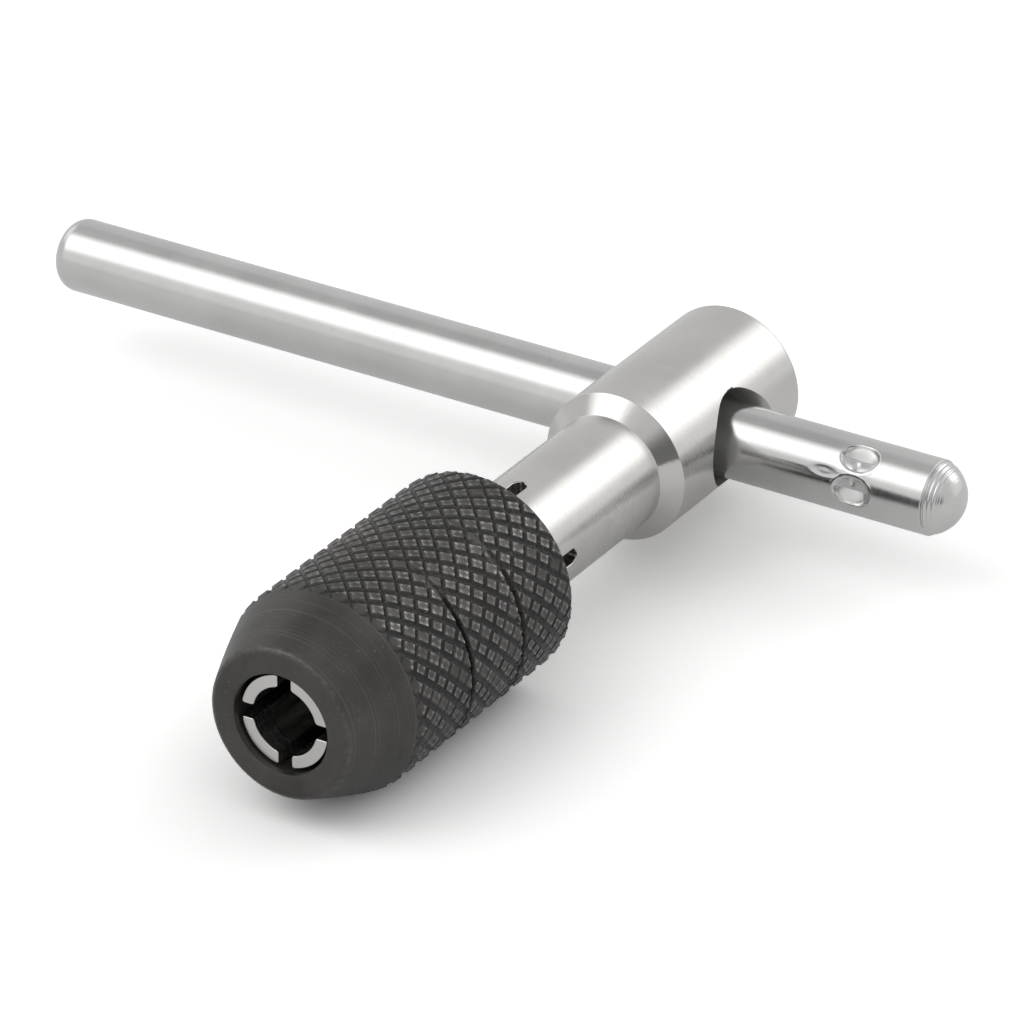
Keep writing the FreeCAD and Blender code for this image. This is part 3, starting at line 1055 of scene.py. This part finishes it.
def bar_radius(x, angle):
    """Radius of the bar at places along it and around it (degrees: 0 faces the nose, 90 is up)."""
    from_left = x - LEFT_TIP
    from_right = RIGHT_TIP - x
    radius = np.full_like(x, BAR_RADIUS)

    # The left end is a low crown inside a rounded rim.
    crown = (BAR_RADIUS - LEFT_ROUNDING) * np.sqrt(np.clip(from_left / LEFT_CROWN, 0, 1))
    tip = np.clip((from_left - LEFT_CROWN) / (LEFT_ROUNDING - LEFT_CROWN), 0, 1)
    rim = LEFT_ROUNDING * np.sqrt(1 - (1 - tip) ** 2)
    radius = np.minimum(radius, crown + rim)

    tip = np.clip(from_right, 0, BAR_RADIUS)
    right_dome = np.sqrt(np.clip(BAR_RADIUS**2 - (BAR_RADIUS - tip) ** 2, 0, None))
    inside = smooth_step(DOME_ROOT + 0.06, DOME_ROOT - 0.06, from_right)
    ridges = RIDGE_HEIGHT * np.sin(TURN * (from_right - DOME_ROOT) / RIDGE_PITCH)
    ridges *= smooth_step(1.1, 1.7, from_right)
    ridges -= 0.10 * np.exp(-(((DOME_ROOT - 0.12 - from_right) / 0.12) ** 2))
    ridges += 0.004 * np.sin(TURN * from_right / 0.16) * smooth_step(1.9, 1.3, from_right)
    radius = radius * (1 - inside) + (right_dome + ridges) * inside

    for number, (place, facing) in enumerate(DENTS):
        # A notch with its crease along the bar, and a step up to the shallow side by its neighbour.
        outward = -1 if number % 2 == 0 else 1
        arc = round_the_bar(angle, facing)
        u = (x - place) / DENT_LENGTH
        v = arc / DENT_ARC * outward
        out = np.sqrt(u * u + v * v)
        wall = smooth_step(1.03, 0.86, out)
        reach = np.clip(v, 0, 1)
        outer_wall = DENT_DEPTH * (1 - 0.5 * reach - 0.5 * reach * reach) * (1 - 0.6 * u * u)
        inner_wall = DENT_STEP * smooth_step(-1.15, 0.0, v) * (1 - 0.4 * u * u)
        across = smooth_step(-0.10, 0.03, v)
        radius = radius - wall * (inner_wall + (outer_wall - inner_wall) * across)
        # Metal pushed up round the punch mark.
        radius = radius + DENT_BURR * np.exp(-(((out - 1.10) / 0.07) ** 2))
    for place, facing in DENTS[::2]:
        # The narrow bridge between two punch marks carries two small pits.
        arc = round_the_bar(angle, facing + DENT_SPACING / 2)
        bridge = np.exp(-(((x - place) / 1.5) ** 4) - (arc / 0.34) ** 4)
        radius = radius + BRIDGE_HEIGHT * bridge
        for side in (-1, 1):
            pit = ((x - place) / 0.24) ** 2 + ((arc - side * 0.88) / 0.34) ** 2
            radius = radius - PIT_DEPTH * np.exp(-pit)
    # A shallow bruise beside the right-hand marks.
    arc = round_the_bar(angle, BRUISE_FACING)
    bruise = ((x - (RIGHT_TIP - BRUISE_FROM_TIP)) / 1.5) ** 2 + (arc / 0.55) ** 2
    radius = radius - BRUISE_DEPTH * np.exp(-(bruise**2))
    return radius


def bar_rows():
    """Places along the bar, close together at its ends and round the punch marks."""
    end_rows, crown_rows = 40, 12
    ridges_start, ridge_rows, ridge_step = 1.15, 75, 0.028
    dent_rows, dent_step = 34, 0.08
    bruise_start, bruise_rows, bruise_step = 16.2, 25, 0.16
    even_rows = 44
    least_gap = 0.004
    rows = set()
    for k in range(1, end_rows + 1):
        bend = 1 - math.cos(math.pi / 2 * k / end_rows)
        rim = (LEFT_ROUNDING - LEFT_CROWN) * bend
        rows.add(round(LEFT_TIP + LEFT_CROWN * min(1, k / crown_rows) ** 2, 4))
        rows.add(round(LEFT_TIP + LEFT_CROWN + rim, 4))
        rows.add(round(RIGHT_TIP - BAR_RADIUS * bend, 4))
    for k in range(ridge_rows):
        rows.add(round(RIGHT_TIP - ridges_start - k * ridge_step, 4))
    for place in (LEFT_TIP + DENT_FROM_TIP, RIGHT_TIP - DENT_FROM_TIP):
        for k in range(-dent_rows, dent_rows + 1):
            rows.add(round(place + k * dent_step, 4))
    for k in range(bruise_rows):
        rows.add(round(RIGHT_TIP - bruise_start + k * bruise_step, 4))
    for k in range(1, even_rows):
        rows.add(round(LEFT_TIP + (RIGHT_TIP - LEFT_TIP) * k / even_rows, 4))
    places = sorted(rows)
    kept = [places[0]]
    for x in places[1:]:
        if x - kept[-1] > least_gap:
            kept.append(x)
    return np.array(kept)


def make_bar():
    segments = 256
    rows = bar_rows()
    angles = np.arange(segments) * 360.0 / segments
    x, angle = np.meshgrid(rows, angles, indexing="ij")
    radius = bar_radius(x, angle)
    step = 0.02
    slope_x = (bar_radius(x + step, angle) - bar_radius(x - step, angle)) / (2 * step)
    turn_step = 0.4
    slope_arc = bar_radius(x, angle + turn_step) - bar_radius(x, angle - turn_step)
    slope_arc /= np.radians(2 * turn_step) * radius
    turn = np.radians(angle)
    out_y, out_z = -np.cos(turn), np.sin(turn)
    side_y, side_z = np.sin(turn), np.cos(turn)
    points = np.stack([x, BAR_CENTRE.y + radius * out_y, BAR_CENTRE.z + radius * out_z], -1)
    normals = np.stack([-slope_x, out_y - slope_arc * side_y, out_z - slope_arc * side_z], -1)
    normals /= np.linalg.norm(normals, axis=-1, keepdims=True)

    surface = Surface()
    surface.points = [tuple(p) for p in points.reshape(-1, 3)]
    for i in range(len(rows) - 1):
        for j in range(segments):
            j2 = (j + 1) % segments
            corners = [(i, j), (i + 1, j), (i + 1, j2), (i, j2)]
            ids = [a * segments + b for a, b in corners]
            surface.add_face(ids, [normals[a, b] for a, b in corners])
    for row, tip, facing in ((0, LEFT_TIP, -1), (len(rows) - 1, RIGHT_TIP, 1)):
        surface.points.append((tip, BAR_CENTRE.y, BAR_CENTRE.z))
        pole = len(surface.points) - 1
        for j in range(segments):
            j2 = (j + 1) % segments
            ids = [row * segments + j, row * segments + j2, pole]
            around = [normals[row, j], normals[row, j2], (facing, 0, 0)]
            if facing > 0:
                ids.reverse()
                around.reverse()
            surface.add_face(ids, around)
    return surface.to_object("bar_rod", bar_steel)


# ---------------------------------------------------------------------------------------------------
# Pieces on their bodies
# ---------------------------------------------------------------------------------------------------

spindle = make_spindle()
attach(spindle, "spindle")
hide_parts("spindle")

for number in range(1, 5):
    jaw = make_jaw(number)
    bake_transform(jaw)
    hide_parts(f"jaw_{number}")

nut = make_nut()
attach(nut, "chuck_nut")
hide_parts("chuck_nut")

bar = make_bar()
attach(bar, "tee_bar")
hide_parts("tee_bar")

# ---------------------------------------------------------------------------------------------------
# Floor, light and camera
# ---------------------------------------------------------------------------------------------------

STUDIO_LEVEL = 0.70
# Each panel is (azimuth, elevation, strength, degrees to its soft edge, degrees to its full strength).
# A negative strength is a shaded patch.
PANELS = (
    (-50, 50, 1.10, 31, 5),
    (155, 33, 1.15, 25, 5),
    (141, 12, 0.22, 42, 10),
    (-25, 24, 0.20, 40, 10),
    (-115, 60, -0.16, 30, 8),
    (-103, 33, 0.45, 26, 5),
    (42, 2, -0.50, 36, 12),
)


def make_floor():
    """White paper to the camera. Reflections and bounced light get a darker tone than the camera does."""
    size = 2.5
    gap = 0.02
    mesh = bpy.data.meshes.new("floor")
    z = (FLOOR_Z - gap) * MM
    corners = [(-size, -size, z), (size, -size, z), (size, size, z), (-size, size, z)]
    mesh.from_pydata(corners, [], [(0, 1, 2, 3)])
    shader = Shader("floor_white")
    path = shader.nodes.new("ShaderNodeLightPath")
    near = shader.blend(shader.noise(3.0), (0.79, 0.79, 0.79), (0.81, 0.81, 0.81))
    tone = shader.blend(path.outputs["Is Camera Ray"], near, (1.32, 1.32, 1.32))
    paper = shader.nodes.new("ShaderNodeBsdfDiffuse")
    shader.link(tone, paper.inputs["Color"])
    shader.link(paper.outputs["BSDF"], shader.nodes["Material Output"].inputs["Surface"])
    floor = add_object("floor", mesh, shader.material)


def direction(azimuth, elevation):
    """Unit vector: azimuth 0 points along -Y and 90 along +X."""
    a = math.radians(azimuth)
    e = math.radians(elevation)
    return Vector((math.sin(a) * math.cos(e), -math.cos(a) * math.cos(e), math.sin(e)))


def make_world():
    """A pale studio: even light with a few soft-edged panels and shaded patches."""
    world = bpy.data.worlds.new("studio")
    bpy.context.scene.world = world
    world.use_nodes = True
    nodes = world.node_tree.nodes
    links = world.node_tree.links
    place = nodes.new("ShaderNodeTexCoord")
    total = None
    for azimuth, elevation, strength, edge, full in PANELS:
        dot = nodes.new("ShaderNodeVectorMath")
        dot.operation = "DOT_PRODUCT"
        dot.inputs[1].default_value = direction(azimuth, elevation)
        links.new(place.outputs["Generated"], dot.inputs[0])
        glow = nodes.new("ShaderNodeMapRange")
        glow.interpolation_type = "SMOOTHSTEP"
        low, high = math.cos(math.radians(edge)), math.cos(math.radians(full))
        for name, value in (("From Min", low), ("From Max", high), ("To Min", 0.0), ("To Max", strength)):
            glow.inputs[name].default_value = value
        links.new(dot.outputs["Value"], glow.inputs["Value"])
        add = nodes.new("ShaderNodeMath")
        add.operation = "ADD"
        add.inputs[1].default_value = STUDIO_LEVEL
        if total is not None:
            links.new(total, add.inputs[1])
        links.new(glow.outputs["Result"], add.inputs[0])
        total = add.outputs[0]
    background = nodes["Background"]
    background.inputs["Color"].default_value = (1.0, 0.998, 0.994, 1)
    links.new(total, background.inputs["Strength"])


def make_camera():
    azimuth, elevation = 31.714, 28.558
    distance = 692.9
    aim_left, aim_up = 1.287, 2.407
    back = direction(azimuth, elevation)
    right = Vector((0, 0, 1)).cross(back).normalized()
    up = back.cross(right)
    centre = Vector((0, SLOT_ROOT + 0.4, 0))
    place = centre + back * distance
    aim = centre - right * aim_left + up * aim_up
    data = bpy.data.cameras.new("camera")
    data.sensor_width = 36
    data.lens = 244.8
    data.clip_start = 0.01
    camera = bpy.data.objects.new("camera", data)
    camera.location = place * MM
    camera.rotation_euler = (place - aim).to_track_quat("Z", "Y").to_euler()
    bpy.context.scene.collection.objects.link(camera)
    bpy.context.scene.camera = camera


make_floor()
make_world()
make_camera()
bpy.context.scene.view_settings.view_transform = "Standard"
